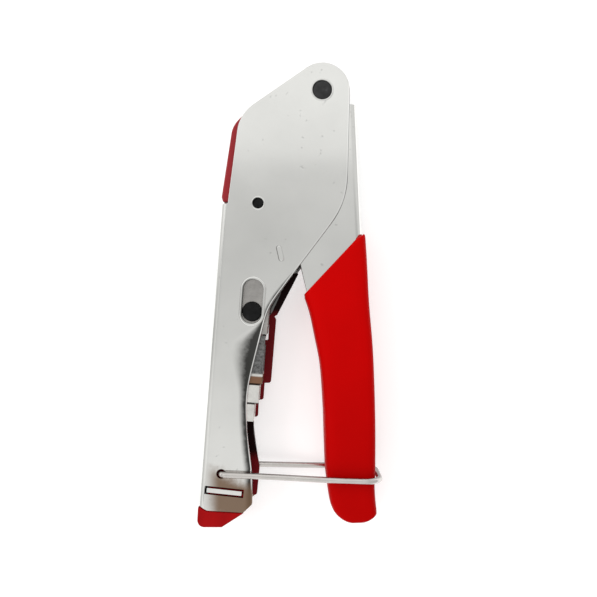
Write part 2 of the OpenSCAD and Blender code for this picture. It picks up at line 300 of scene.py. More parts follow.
def edge_roll(n):
    """How far the sheet rolls down at its working edge, reach * 0.3 * (1 - distance / reach)^3,
    the painted shade along it, and the painted highlight on its lip.

    The distance to the edge is the smooth greatest of the distances to its hollow runs, and the
    least of that and the distances to the runs at the head and the lower end. The reach grows below
    the slot and shrinks again towards the lower end.
    """
    lip = 0.55 * MM
    hollow_blend, head_blend, foot_blend = 3.5 * MM, 9.7 * MM, 2 * MM
    lines = []
    for first, last in zip(WORKING_EDGE, WORKING_EDGE[1:]):
        a, b = (PIVOT[:2] + np.array(p) * MM for p in (first, last))
        run = (b - a) / np.linalg.norm(b - a)
        inward = np.array([run[1], -run[0]])
        lines.append(n.math("SUBTRACT", n.along((*inward, 0.0)), float(inward @ a)))
    distance = lines[1]
    for line in lines[2:-1]:
        distance = n.math("SMOOTH_MAX", distance, line, hollow_blend)
    distance = n.math("SMOOTH_MIN", distance, lines[0], head_blend)
    y = n.along((0.0, 1.0, 0.0))
    # Keeps the lower end's run from reaching up the body.
    higher = n.between(y, below(160), below(150), 0.0, 90 * MM)
    distance = n.math("SMOOTH_MIN", distance, n.math("ADD", lines[-1], higher), foot_blend)
    grown = n.between(y, below(96), below(107), 2.2 * MM, sizes().rolled_edge)
    shrunk = n.between(y, below(108), below(130), 1.0, 0.38)
    head = n.between(y, below(70), below(84), 0.1, 1.0)
    reach = n.math("MULTIPLY", n.math("MULTIPLY", grown, shrunk), head)
    share = n.math("SUBTRACT", 1.0, n.math("DIVIDE", n.math("MAXIMUM", distance, lip), reach))
    share = n.math("MAXIMUM", share, 0.0)
    cube = n.math("POWER", share, 3.0)
    cloudy = n.spread(n.noise(420.0, 4.0, 0.65), 0.9, 1.2)
    # Painted shade: a dark band where the curled edge turns from the light, and a thin dark line at the
    # very edge for the gap's shadow.
    painted_shade = n.math("MINIMUM", n.math("MULTIPLY", n.between(share, 0.15, 0.88), cloudy), 0.93)
    painted_shade = n.math("MULTIPLY", painted_shade, n.between(distance, lip * 0.8, lip * 1.3))
    painted_shade = n.math("MAXIMUM", painted_shade, n.between(distance, 0.22 * MM, 0.08 * MM, 0.0, 0.85))
    # Painted highlight: a bright line along the edge's lip.
    painted_highlight = n.between(distance, lip * 1.5, lip * 0.9, 0.0, 0.6)
    return n.math("MULTIPLY", n.math("MULTIPLY", cube, reach), -0.3), painted_shade, painted_highlight


def chrome_plate(name, haze=0.0, body=False, coined=False):
    """Bright plating over rolled sheet: faint rolling lines, cloudy wear and hair scratches.

    The body also has its working edge's roll, painted shade along that edge and a painted highlight on
    its lip, a brown patch near the lower end and a painted darker reflection on the head. A coined
    piece carries its own painted shade, an attribute of its points.
    """
    n = Nodes(name)
    base = tuple(colours().chrome)
    cloud = n.noise(38.0, 4.0, 0.55)
    rolled = n.noise(900.0, 3.0, 0.6, n.stretched((1.0, 0.04, 1.0), (0.0, 0.0, 0.075)))
    scratch = n.noise(2600.0, 2.0, 0.5, n.stretched((1.0, 0.02, 1.0), (0.0, 0.0, 0.9)))
    grain = n.noise(5200.0, 2.0, 0.6)
    pits = n.between(n.noise(330.0, 2.0, 0.5), 0.68, 0.78)
    tint = n.ramp(cloud, [(0.3, shade(base, 0.95)), (0.7, shade(base, 1.03))])
    tint = n.blend(n.math("MULTIPLY", pits, 0.35), tint, shade(base, 0.55))
    layers = [
        (cloud, 0.03 * MM, 0.5), (rolled, 0.002 * MM, 0.4), (scratch, 0.0015 * MM, 0.3),
        (n.math("SUBTRACT", 1.0, pits), 0.01 * MM, 0.5),
    ]
    if body:
        roll, painted_shade, painted_highlight = edge_roll(n)
        layers.insert(0, (roll, 1.0, 0.6))
        # Painted highlight on the working edge's lip, then painted shade along that edge.
        tint = n.blend(painted_highlight, tint, (0.97, 0.97, 0.96))
        tint = n.blend(painted_shade, tint, (0.015, 0.014, 0.012))
        stain = n.noise(260.0, 4.0, 0.6)
        lean = 0.45
        middle = beside(-36.5, -173)
        place = n.math("SUBTRACT", n.along((lean, 1.0, 0.0)), float(lean * middle[0] + middle[1]))
        away = n.math("ADD", n.math("ABSOLUTE", place), n.math("MULTIPLY", stain, 6 * MM))
        patch = n.between(away, 16 * MM, 8.5 * MM)
        near = n.between(n.along((1.0, 0.0, 0.0)), PIVOT[0] - 50.5 * MM, PIVOT[0] - 43 * MM)
        patch = n.math("MULTIPLY", n.math("MULTIPLY", patch, near), 0.95)
        tint = n.blend(patch, tint, (0.22, 0.14, 0.09))
        # Painted shade: a darker reflection on the head.
        painted_dark_reflection = n.between(n.away_from(beside(-23, -54)), 26 * MM, 5 * MM, 0.0, 0.13)
        tint = n.blend(painted_dark_reflection, tint, shade(base, 0.5))
    if coined:
        # Painted shade that the coined piece carries at its points.
        tint = n.blend(n.attribute("painted_shade"), tint, (0.03, 0.03, 0.028))
    n.bump(*layers)
    rough = n.blend(0.3, n.spread(cloud, 0.05 + haze, 0.1 + haze), n.spread(grain, 0.07, 0.15))
    return n.set(Base_Color=tint, Metallic=1.0, Roughness=rough)


def ground_steel(name, base, rough):
    """Bare metal with fine grinding lines and a little oil staining."""
    n = Nodes(name)
    lines = n.noise(3200.0, 3.0, 0.6, n.stretched((0.06, 1.0, 1.0)))
    stain = n.noise(160.0, 4.0, 0.6)
    n.bump((lines, 0.01 * MM, 0.6), (stain, 0.02 * MM, 0.3))
    tint = n.ramp(stain, [(0.3, shade(base, 0.78)), (0.65, shade(base, 1.06))])
    return n.set(Base_Color=tint, Metallic=1.0, Roughness=n.spread(lines, rough - 0.06, rough + 0.1))


def cradle_steel(name):
    """Cast block: coarse above, painted dark there as shade; a painted brown reflection at its first
    step, painted shade in its step grooves, and lighter below.

    Its zones lie along the slot, measured from the plunger pin's closed place.
    """
    n = Nodes(name)
    base = tuple(colours().steel)
    coarse = n.noise(1100.0, 5.0, 0.7)
    stain = n.noise(240.0, 4.0, 0.6)
    place = n.math("SUBTRACT", n.along(tuple(SLOT_UP)), float(SLOT_UP @ PLUNGER))
    # Painted shade over the coarse cast above the first step, and a painted brown reflection in a band
    # at that step.
    above = n.between(place, -26.6 * MM, -25.8 * MM)
    brown = n.math("MULTIPLY", n.between(place, -31.2 * MM, -30.6 * MM),
                   n.between(place, -26.9 * MM, -27.6 * MM))
    tint = n.ramp(stain, [(0.3, shade(base, 1.15)), (0.65, shade(base, 1.4))])
    tint = n.blend(brown, tint, (0.27, 0.145, 0.09))
    dark = n.ramp(coarse, [(0.3, 0.06), (0.7, 0.30)])
    tint = n.blend(above, tint, dark)
    first_step, second_step = -30.6 * MM, -38.8 * MM
    # Painted shade in the grooves at the steps.
    for step in (first_step, second_step):
        away = n.math("ABSOLUTE", n.math("SUBTRACT", place, step))
        tint = n.blend(n.between(away, 0.5 * MM, 0.3 * MM, 0.0, 0.9), tint, (0.02, 0.015, 0.013))
    rough = n.between(place, -31.2 * MM, -29 * MM, 0.2, 0.42)
    n.bump((n.math("MULTIPLY", coarse, above), 0.08 * MM, 0.7), (stain, 0.01 * MM, 0.3))
    return n.set(Base_Color=tint, Metallic=1.0, Roughness=rough)


def satin_wire(name, base, rough):
    """Drawn wire: fine pits, slightly dulled, and painted shade where the piece carries it."""
    n = Nodes(name)
    pits = n.noise(1200.0, 3.0, 0.6)
    tone = n.noise(160.0, 3.0, 0.5)
    n.bump((pits, 0.0006 * MM, 0.25))
    tint = n.ramp(tone, [(0.3, shade(base, 0.92)), (0.7, shade(base, 1.03))])
    # Painted shade where the piece carries it at its points.
    tint = n.blend(n.attribute("painted_shade"), tint, (0.07, 0.055, 0.05))
    return n.set(Base_Color=tint, Metallic=1.0, Roughness=n.spread(pits, rough - 0.05, rough + 0.08))


def black_oxide(name, factor=1.0):
    """Chemically blackened steel: sooty, with grey where it is rubbed."""
    n = Nodes(name)
    base = shade(tuple(colours().oxide), factor)
    fine = n.noise(2800.0, 4.0, 0.65)
    rub = n.noise(420.0, 3.0, 0.6)
    tint = n.ramp(rub, [(0.35, shade(base, 0.8)), (0.62, shade(base, 1.5)), (0.78, shade(base, 3.0))])
    n.bump((fine, 0.012 * MM, 0.7), (rub, 0.02 * MM, 0.4))
    rough = n.spread(fine, 0.36, 0.52)
    return n.set(Base_Color=tint, Metallic=0.35, Roughness=rough, Specular_IOR_Level=0.5 * factor)


def soft_vinyl(name):
    """Moulded vinyl: fine leathery grain, slow mould waves, dust, and darker towards its lower end."""
    n = Nodes(name)
    base = tuple(colours().vinyl)
    grain = n.noise(1500.0, 3.0, 0.55)
    wave = n.noise(45.0, 3.0, 0.5)
    dust = n.noise(300.0, 5.0, 0.65)
    tint = n.ramp(wave, [(0.3, shade(base, 0.95)), (0.7, shade(base, 1.03))])
    up_the_grip = n.between(n.along((0.0, 1.0, 0.0)), float(GRIP_LOW[1]), float(GRIP_HIGH[1]))
    tint = n.blend(1.0, tint, n.ramp(up_the_grip, [(0.0, 0.78), (1.0, 1.0)]), "MULTIPLY")
    tint = n.blend(n.ramp(dust, [(0.66, 0.0), (0.9, 0.05)]), tint, (0.55, 0.06, 0.06))
    n.bump((wave, 0.12 * MM, 0.5), (grain, 0.012 * MM, 0.5))
    return n.set(Base_Color=tint, Roughness=n.spread(grain, 0.36, 0.5), Specular_IOR_Level=0.03)


def hard_moulding(name, factor=1.0, gloss=0.35, in_deep_shadow=False, red=None):
    """Hard red moulding with flow marks and an eggshell skin.

    A shaded one is painted black as deep shade, apart from its stepped strips and its lower end.
    """
    n = Nodes(name)
    base = shade(tuple(red or colours().moulding), factor)
    skin = n.noise(1900.0, 3.0, 0.6)
    flow = n.noise(120.0, 3.0, 0.5, n.stretched((1.0, 0.3, 1.0)))
    tint = n.ramp(flow, [(0.3, shade(base, 0.85)), (0.7, shade(base, 1.12))])
    if in_deep_shadow:
        # Painted shade: black where the liner lies deep in shadow, left red at its stepped strips and
        # its lower end.
        y = n.along((0.0, 1.0, 0.0))
        lit_lower_end = n.between(y, below(154), below(160))
        steps = n.between(y, below(140.5), below(139))
        top = n.between(y, below(92), below(96))
        unshaded_parts = n.math("MAXIMUM", lit_lower_end, n.math("MULTIPLY", steps, top))
        tint = n.blend(unshaded_parts, shade(base, 0.05), tint)
    n.bump((skin, 0.012 * MM, 0.5), (flow, 0.05 * MM, 0.3))
    return n.set(Base_Color=tint, Roughness=n.spread(skin, 0.34, 0.46), Specular_IOR_Level=gloss)


def floor_paper(name):
    """Pale matt paper, lit a little from below."""
    n = Nodes(name)
    base = tuple(colours().floor)
    fibre = n.noise(900.0, 4.0, 0.6)
    tint = n.ramp(fibre, [(0.3, shade(base, 0.99)), (0.7, base)])
    n.bump((fibre, 0.01 * MM, 0.2))
    return n.set(
        Base_Color=tint, Roughness=0.9, Specular_IOR_Level=0.1, Emission_Strength=1.0,
        Emission_Color=(*colours().glow, 1.0),
    )


MATERIALS = {}


def material(key):
    """Each finish, made once and shared by its pieces."""
    makers = {
        "chrome": lambda: chrome_plate("chrome_plate"),
        "body_chrome": lambda: chrome_plate("body_chrome_plate", body=True),
        "cradle": lambda: cradle_steel("cradle_steel"),
        "handle_chrome": lambda: chrome_plate("handle_chrome_plate", 0.03),
        "dark_steel": lambda: ground_steel("oiled_steel", (0.30, 0.30, 0.31), 0.36),
        "bronze": lambda: ground_steel("sintered_bronze", (0.55, 0.38, 0.16), 0.4),
        "wire": lambda: satin_wire("bail_wire_steel", (0.68, 0.65, 0.63), 0.2),
        "spring": lambda: satin_wire("spring_wire_steel", (0.25, 0.25, 0.26), 0.32),
        "coined": lambda: chrome_plate("coined_chrome", coined=True),
        # The plunger's steel is darker than the cradle's, painted shade for where it shows in the slot.
        "plunger_steel": lambda: ground_steel("plunger_steel", (0.48, 0.465, 0.45), 0.3),
        "oxide": lambda: black_oxide("black_oxide"),
        "dark_oxide": lambda: black_oxide("dark_black_oxide", 0.35),
        "vinyl": lambda: soft_vinyl("red_vinyl"),
        "moulding": lambda: hard_moulding("red_moulding"),
        # The liner is a darker copy of the red moulding, painted shade for its place inside the channel.
        "liner": lambda: hard_moulding("red_liner", 0.55, 0.08, in_deep_shadow=True),
        "end_moulding": lambda: hard_moulding("red_end_moulding", 1.0, 0.04, red=colours().end_red),
        "floor": lambda: floor_paper("floor_paper"),
    }
    if key not in MATERIALS:
        MATERIALS[key] = makers[key]()
    return MATERIALS[key]


# -------------------------------------------------------------------- meshes
def put(name, points, faces, finish, body, nodes=()):
    """Makes a smooth mesh piece from points (n, 3) and faces, riding on a body unless it is None."""
    mesh = bpy.data.meshes.new(name)
    mesh.from_pydata([tuple(p) for p in np.asarray(points, float).tolist()], [], faces)
    mesh.validate()
    mesh.update()
    piece = bpy.data.objects.new(name, mesh)
    bpy.context.scene.collection.objects.link(piece)
    mesh.polygons.foreach_set("use_smooth", np.ones(len(mesh.polygons), bool))
    mesh.materials.append(material(finish))
    if body:
        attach(piece, body)
    if nodes:
        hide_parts(*nodes)
    return piece


def grid_faces(rows, columns, wrap=True):
    """Quads of a grid of rows by columns, its columns joined end to start when wrap is true."""
    r = np.arange(rows - 1)[:, None]
    c = np.arange(columns if wrap else columns - 1)[None, :]
    after = (c + 1) % columns
    quads = np.stack(
        np.broadcast_arrays(r * columns + c, r * columns + after, (r + 1) * columns + after,
                            (r + 1) * columns + c), axis=-1,
    )
    return quads.reshape(-1, 4).tolist()


def capped(points, rows, columns):
    """A wrapped grid closed by a middle point at each end: the points and the faces."""
    grid = points.reshape(rows, columns, 3)
    both = np.vstack([points, grid[0].mean(0), grid[-1].mean(0)])
    first, last, base = rows * columns, rows * columns + 1, (rows - 1) * columns
    faces = grid_faces(rows, columns)
    faces += [[first, (c + 1) % columns, c] for c in range(columns)]
    faces += [[last, base + c, base + (c + 1) % columns] for c in range(columns)]
    return both, faces


def outward(piece):
    """Recalculates a closed piece's normals so that they face outwards."""
    work = bmesh.new()
    work.from_mesh(piece.data)
    bmesh.ops.recalc_face_normals(work, faces=work.faces)
    work.to_mesh(piece.data)
    work.free()
    return piece


def revolve(profile, centre, segments=96):
    """A profile (radius, height) turned about +Z: point = centre + (r cos a, r sin a, z)."""
    r, z = np.array(profile).T
    a = np.linspace(0, 2 * math.pi, segments, endpoint=False)
    points = np.stack(
        [centre[0] + r[:, None] * np.cos(a), centre[1] + r[:, None] * np.sin(a),
         np.repeat(z[:, None], segments, 1)], axis=-1,
    )
    return capped(points.reshape(-1, 3), len(r), segments)


def tube(path, radius, sides, up):
    """A circle of the radius carried along path; each ring lies in the plane square to the path."""
    path = np.asarray(path, float)
    along = np.gradient(path, axis=0)
    along /= np.linalg.norm(along, axis=1, keepdims=True)
    side = np.cross(along, up)
    side /= np.linalg.norm(side, axis=1, keepdims=True)
    over = np.cross(side, along)
    a = np.linspace(0, 2 * math.pi, sides, endpoint=False)[None, :, None]
    rings = path[:, None] + radius * (np.cos(a) * side[:, None] + np.sin(a) * over[:, None])
    return capped(rings.reshape(-1, 3), len(path), sides)


def spaced(line, fractions):
    """Points of a line at fractions of its length."""
    run = np.r_[0, np.cumsum(np.linalg.norm(np.diff(line, axis=0), axis=1))]
    return np.stack([np.interp(fractions * run[-1], run, line[:, k]) for k in (0, 1)], 1)


def curve(points, steps=12):
    """A smooth line through points: a Catmull-Rom cubic of the four nearest points in each gap."""
    p = np.array(points, float)
    p = np.vstack([2 * p[0] - p[1], p, 2 * p[-1] - p[-2]])
    t = np.linspace(0, 1, steps, endpoint=False)[:, None]
    parts = [
        0.5 * (2 * b + (c - a) * t + (2 * a - 5 * b + 4 * c - d) * t**2 + (3 * b - a - 3 * c + d) * t**3)
        for a, b, c, d in zip(p, p[1:], p[2:], p[3:])
    ]
    return np.vstack([*parts, p[-2][None]])


def machined(name, node, finish, body, width, segments=3):
    """A merged copy of a frame node, its flat faces joined and its sharp edges rounded to width."""
    mesh = frame["nodes"][node].data.copy()
    work = bmesh.new()
    work.from_mesh(mesh)
    bmesh.ops.remove_doubles(work, verts=work.verts, dist=2e-6)
    bmesh.ops.dissolve_limit(work, angle_limit=math.radians(0.5), verts=work.verts, edges=work.edges)
    weight = work.edges.layers.float.new("bevel_weight_edge")
    for edge in work.edges:
        if len(edge.link_faces) == 2 and edge.calc_face_angle() > math.radians(38):
            edge[weight] = 1.0
    for face in work.faces:
        face.smooth = True
    work.to_mesh(mesh)
    work.free()
    mesh.name = name
    mesh.materials.clear()
    mesh.materials.append(material(finish))
    piece = bpy.data.objects.new(name, mesh)
    bpy.context.scene.collection.objects.link(piece)
    bevel = piece.modifiers.new("edges", "BEVEL")
    bevel.width = width
    bevel.segments = segments
    bevel.limit_method = "WEIGHT"
    bevel.use_clamp_overlap = False
    even = piece.modifiers.new("flat faces", "WEIGHTED_NORMAL")
    even.weight = 100
    even.thresh = 0.01
    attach(piece, body)
    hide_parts(node)
    return piece


# -------------------------------------------------------------------- pieces
class TOOL_OT_body(bpy.types.Operator):
    """Folded chrome body: two cheeks and a web, with a rolled working edge"""

    bl_idname = "tool_maker.body"
    bl_label = "Body channel"

    def execute(self, context):
        machined("body_shell", "body_channel", "body_chrome", "body", sizes().edge)
        return {"FINISHED"}


def painted_shade(piece, share):
    """Stores how much painted shade each point of a piece has, from 0 to 1."""
    layer = piece.data.attributes.new("painted_shade", "FLOAT", "POINT")
    layer.data.foreach_set("value", np.asarray(share, np.float32).ravel())
    return piece


def stadium(half, top, bottom, out, side, up):
    """Rings round a stadium: point = end * up + out * (cos t * side + sin t * up).

    The end is top over the first half turn and -bottom over the second, with half points to each.
    Gives the rings (out, points, 2) and the pairs (cos t, sin t).
    """
    t = np.linspace(0, math.pi, half)
    cap = np.stack([np.cos(t), np.sin(t)], 1)
    normal = np.vstack([cap, -cap])
    ends = np.r_[np.full(half, top), np.full(half, -bottom)]
    rings = ends[None, :, None] * up + out[:, None, None] * (
        normal[None, :, :1] * side + normal[None, :, 1:] * up
    )
    return rings, normal


def bead(name, centre, way, run, inner, width, high):
    """A coined bead round a slot or hole: the section (distance out, height) goes round a stadium.

    The section's height is high * sin(pi u)^0.7 over u from 0 to 1. Painted shade lies at its inner
    foot and less at its outer one, most of all to the left.
    """
    half, steps = 33, 13
    u = np.linspace(0, 1, steps)
    plan, normal = stadium(half, run[1], run[0], inner + u * width, SPINE_WAY[:2], SLOT_UP[:2])
    rise = high * np.sin(math.pi * u) ** 0.7 - SUNK
    around = 2 * half
    z = MID_Z + way * (CHEEK_HALF + rise)[:, None, None] * np.ones((1, around, 1))
    points = np.concatenate([plan + centre[:2], z], -1).reshape(-1, 3)
    faces = grid_faces(steps, around)
    last = (steps - 1) * around
    faces += [[c, last + c, last + (c + 1) % around, (c + 1) % around] for c in range(around)]
    # Painted shade at the bead's feet, most of all at its left.
    left = 0.2 + 0.8 * np.clip(-normal[:, 0] + 0.25 * normal[:, 1], 0, 1)
    foot = np.clip(1.3 - u / 0.42, 0, 1) + 0.6 * np.clip((u - 0.8) / 0.2, 0, 1)
    ring = put(name, points, faces, "coined", "body")
    return painted_shade(outward(ring), np.outer(foot, left))


class TOOL_OT_beads(bpy.types.Operator):
    """Coined beads round the plunger slots, the main pin and the anchor hole, on both cheeks"""

    bl_idname = "tool_maker.beads"
    bl_label = "Coined beads"

    def execute(self, context):
        anchor_low, anchor_high = node_box("spring_anchor_pin")
        anchor = (anchor_low + anchor_high) / 2
        slot, hole = (SLOT_SPARE, SLOT_RUN), (0.0, 0.0)
        ring = sizes().ring_width
        # Name, centre, run of the slot, inner radius, width and height.
        rows = [
            ("slot_bead_", PLUNGER, slot, 4.13 * MM, sizes().rim_width, sizes().rim_height),
            ("pivot_bead_", PIVOT, hole, 4.02 * MM, ring, 0.12 * MM),
            ("anchor_bead_", anchor, hole, 2.28 * MM, ring, 0.14 * MM),
        ]
        for side, way in (("front", 1.0), ("rear", -1.0)):
            for name, centre, run, inner, width, high in rows:
                bead(name + side, centre, way, run, inner, width, high)
        return {"FINISHED"}


class TOOL_OT_dash(bpy.types.Operator):
    """Short pressed dash on the front cheek"""

    bl_idname = "tool_maker.dash"
    bl_label = "Pressed dash"

    def execute(self, context):
        """A stadium of rings, flat in the middle: the outer 0.45 of its reach falls as a smooth step."""
        middle = beside(-17.75, -68.75)
        turn = math.radians(-13)
        along = np.array([math.sin(turn), math.cos(turn)])
        across = np.array([along[1], -along[0]])
        length_half, reach, slope, top = 2.3 * MM, 1.25 * MM, 0.45, 0.4 * MM
        half, steps = 17, 10
        around = 2 * half
        u = np.linspace(0, 1, steps + 1)[1:]
        plan, normal = stadium(half, length_half, length_half, reach * u, across, along)
        rise = np.clip((1 - u) / slope, 0, 1)
        high = top * (3 - 2 * rise) * rise**2 - SUNK
        z = (BODY_HIGH[2] + high)[:, None, None] * np.ones((1, around, 1))
        rings = np.concatenate([plan + middle[:2], z], -1)
        under = rings[-1].mean(0) - [0, 0, 5 * SUNK]
        points = np.vstack([rings.reshape(-1, 3), rings[0].mean(0), under])
        last, above, beneath = (steps - 1) * around, steps * around, steps * around + 1
        faces = grid_faces(steps, around)
        faces += [[above, c, (c + 1) % around] for c in range(around)]
        faces += [[beneath, last + (c + 1) % around, last + c] for c in range(around)]
        # Painted shade round the foot of the dash, most of all at its upper left.
        left = 0.3 + 0.7 * np.clip(-normal[:, 0] + 0.3 * normal[:, 1], 0, 1)
        foot = np.clip(1 - np.abs(u - 0.85) / 0.3, 0, 1)
        share = np.r_[np.outer(foot, left).ravel(), 0.0, 0.0]
        dash = put("pressed_dash", points, faces, "coined", "body")
        painted_shade(outward(dash), 0.8 * share)
        return {"FINISHED"}


class TOOL_OT_pins(bpy.types.Operator):
    """Blackened pins with broken edges and slightly domed ends"""

    bl_idname = "tool_maker.pins"
    bl_label = "Pins"

    def execute(self, context):
        """Each pin is a profile turned about its axis: a shallow dome, a chamfer, the shank and back."""
        rows = [
            ("main_pivot_pin", "body", "oxide"),
            ("spring_anchor_pin", "body", "dark_oxide"),
            ("plunger_pin", "plunger", "dark_oxide"),
            ("link_pin", "handle", "oxide"),
        ]
        for node, body, finish in rows:
            low, high = node_box(node)
            radius = (high[0] - low[0]) / 2
            centre = (low + high) / 2
            half = (high[2] - low[2]) / 2
            dome_drop = 0.14 * MM
            t = np.linspace(0, 1, 9)
            dome = np.stack([radius * 0.9 * t, half - dome_drop * t**2], 1)
            chamfer = np.array([[radius * 0.96, half - 0.22 * MM], [radius, half - 0.5 * MM]])
            top = np.vstack([dome[1:], chamfer])
            whole = np.vstack([top, (top * [1, -1])[::-1]])
            points, faces = revolve(whole + [0, centre[2]], centre)
            outward(put(node + "_turned", points, faces, finish, body, [node]))
        return {"FINISHED"}


class TOOL_OT_mouldings(bpy.types.Operator):
    """Red mouldings: the window guard, the liner and the end plug"""

    bl_idname = "tool_maker.mouldings"
    bl_label = "Red mouldings"

    def execute(self, context):
        machined("window_guard_moulded", "window_guard", "moulding", "body", 0.8 * MM)
        machined("liner_moulded", "inner_liner", "liner", "body", 0.12 * MM)
        machined("end_plug_moulded", "end_plug", "end_moulding", "body", 0.7 * MM)
        return {"FINISHED"}


class TOOL_OT_works(bpy.types.Operator):
    """The steel pieces inside: cradle, rivets, bush, washers, link, plunger, tip and nut"""

    bl_idname = "tool_maker.works"
    bl_label = "Inner works"

    def execute(self, context):
        # Node, body, finish, material slot and edge break in millimetres.
        rows = [
            ("cradle", "body", "cradle", "steel", 0.2),
            ("cradle_rivets", "body", "dark_steel", "steel", 0.3),
            ("retainer_plate", "body", "chrome", "chrome_sheet", 0.3),
            ("pivot_bush", "body", "bronze", "bronze", 0.2),
            ("pivot_washers", "body", "bronze", "bronze", 0.05),
            ("link", "link", "dark_steel", "steel", 0.4),
            ("plunger", "plunger", "plunger_steel", "steel", 0.3),
            ("plunger_tip", "plunger", "dark_steel", "steel", 0.25),
            ("lock_nut", "plunger", "dark_steel", "steel", 0.2),
        ]
        for node, body, finish, slot, width in rows:
            machined(node + "_finished", node, finish, body, width * MM)
        return {"FINISHED"}


class TOOL_OT_spring(bpy.types.Operator):
    """Torsion spring round the pivot bush"""

    bl_idname = "tool_maker.spring"
    bl_label = "Return spring"

    def execute(self, context):
        """A helix about the pivot with two straight legs, as one tube.

        Its lower leg stays on the body's cross pin and its upper leg reaches towards the handle; the
        coil between them rises evenly over its height.
        """
        low, high = node_box("return_spring")
        r = sizes().spring_wire
        rise = (high[2] - low[2]) / 2 - r
        coil, turns, count = 7.0 * MM, 4.5, 217
        a = math.pi - 2 * math.pi * turns * np.linspace(0, 1, count)
        helix = np.stack([coil * np.cos(a), coil * np.sin(a), np.linspace(-rise, rise, count)], 1)
        middle = np.array([PIVOT[0], PIVOT[1], MID_Z])
        lower_tip = np.array([low[0] + r - PIVOT[0], low[1] + r * 1.5 - PIVOT[1], -rise])
        upper_tip = np.array([12.0 * MM, -26 * MM, rise])
        legs = np.linspace(0, 1, 24)[:, None]
        first = lower_tip * (1 - legs) + helix[0] * legs
        last = helix[-1] * (1 - legs) + upper_tip * legs
        path = np.vstack([first[:-1], helix, last[1:]]) + middle
        points, faces = tube(path, r, 14, [0, 0, 1])
        name, node = "return_spring_wound", "return_spring"
        spring = outward(put(name, points, faces, "spring", None, [node]))
        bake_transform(spring)
        return {"FINISHED"}


class TOOL_OT_handle(bpy.types.Operator):
    """Folded chrome handle that runs down inside the grip"""

    bl_idname = "tool_maker.handle"
    bl_label = "Handle channel"

    def execute(self, context):
        edge = sizes().edge
        machined("handle_shell", "handle_channel", "handle_chrome", "handle", edge)
        return {"FINISHED"}


class TOOL_OT_grip(bpy.types.Operator):
    """Soft red grip moulded over the handle"""

    bl_idname = "tool_maker.grip"
    bl_label = "Grip"

    def execute(self, context):
        """A ladder of superellipses: each rung joins the left and right outlines at the same share
        of their lengths, and its section is |x / half width|^n + |z / half thickness|^n = 1.

        The half thickness is full where the rung is wide and falls as a superellipse's quarter where
        it narrows. At the top a round lip turns into a slightly sunken end.
        """
        bottom = (GRIP_LOW[1] - PIVOT[1]) / MM + 0.1
        foot = (14.4, bottom)
        left = curve([
            (-7.9, -86.3), (-5.3, -94.1), (-2.9, -105.5), (-0.8, -116.8), (0.45, -133.8), (0.9, -147.0),
            (1.4, -160.1), (2.1, -166.3), (2.9, -172.0), (3.8, -175.4), (5.4, -178.4),
            (7.9, -180.6), (11.0, -181.9), foot,
        ])
        right = curve([
            (15.9, -60.9), (17.0, -60.3), (18.2, -60.6), (18.6, -64.0), (19.2, -74.0), (20.0, -89.6),
            (21.7, -111.0), (22.6, -138.0), (22.6, -160.0), (22.3, -166.1), (22.6, -172.6),
            (23.1, -177.4), (22.9, -178.9), (21.1, -180.5), (18.2, -181.75), foot,
        ])
        # The rungs close up over the last fifth, where the outlines meet at the foot.
        t = np.linspace(0, 1, 201)
        t = np.where(t > 0.8, 0.8 + 0.2 * np.sin((t - 0.8) / 0.2 * math.pi / 2), t)
        a, b = spaced(left, t) * MM, spaced(right, t) * MM
        middle, half = (a + b) / 2, (b - a) / 2
        width = np.linalg.norm(half, axis=1)
        way = np.zeros_like(half)
        way[width > 1e-7] = half[width > 1e-7] / width[width > 1e-7, None]
        full_width, fall = 8.5 * MM, 2.6
        soft = np.clip(width / full_width, 0, 1)
        thick = GRIP_HALF * (1 - (1 - soft) ** fall) ** (1 / fall)
        lip = sizes().grip_lip
        u = np.linspace(0, math.pi / 2, 9)[:-1]
        turn = np.array([-(b[0] - a[0])[1], (b[0] - a[0])[0]])
        turn /= np.linalg.norm(turn)
        power = 6.0
        angle = np.linspace(0, 2 * math.pi, 112, endpoint=False)
        co = np.sign(np.cos(angle)) * np.abs(np.cos(angle)) ** (2 / power)
        si = np.sign(np.sin(angle)) * np.abs(np.sin(angle)) ** (2 / power)

        def section(centre, e, w, h):
            """Rings about centre, e the way across, w and h the half width and half thickness."""
            plan = centre[:, None] + co[None, :, None] * (w[:, None] * e)[:, None]
            z = MID_Z + si[None] * h[:, None]
            return np.concatenate([plan + PIVOT[:2], z[..., None]], -1)

        body_rows = section(middle[1:-1], way[1:-1], width[1:-1], thick[1:-1])
        shrink = lip * (1 - np.sin(u))
        back = lip * (1 - np.cos(u))
        lip_rows = section(
            middle[0] - turn * back[:, None], np.repeat(way[:1], len(u), 0),
            width[0] - shrink, thick[0] - shrink,
        )
        inner = section(
            middle[:1] - turn * 0.5 * MM, way[:1], width[:1] - 3.0 * MM, thick[:1] - 3.4 * MM
        )
        rows = np.concatenate([inner, lip_rows, body_rows[2:]])
        points, faces = capped(rows.reshape(-1, 3), len(rows), len(angle))
        outward(put("grip_moulded", points, faces, "vinyl", "handle", ["handle_grip"]))
        return {"FINISHED"}


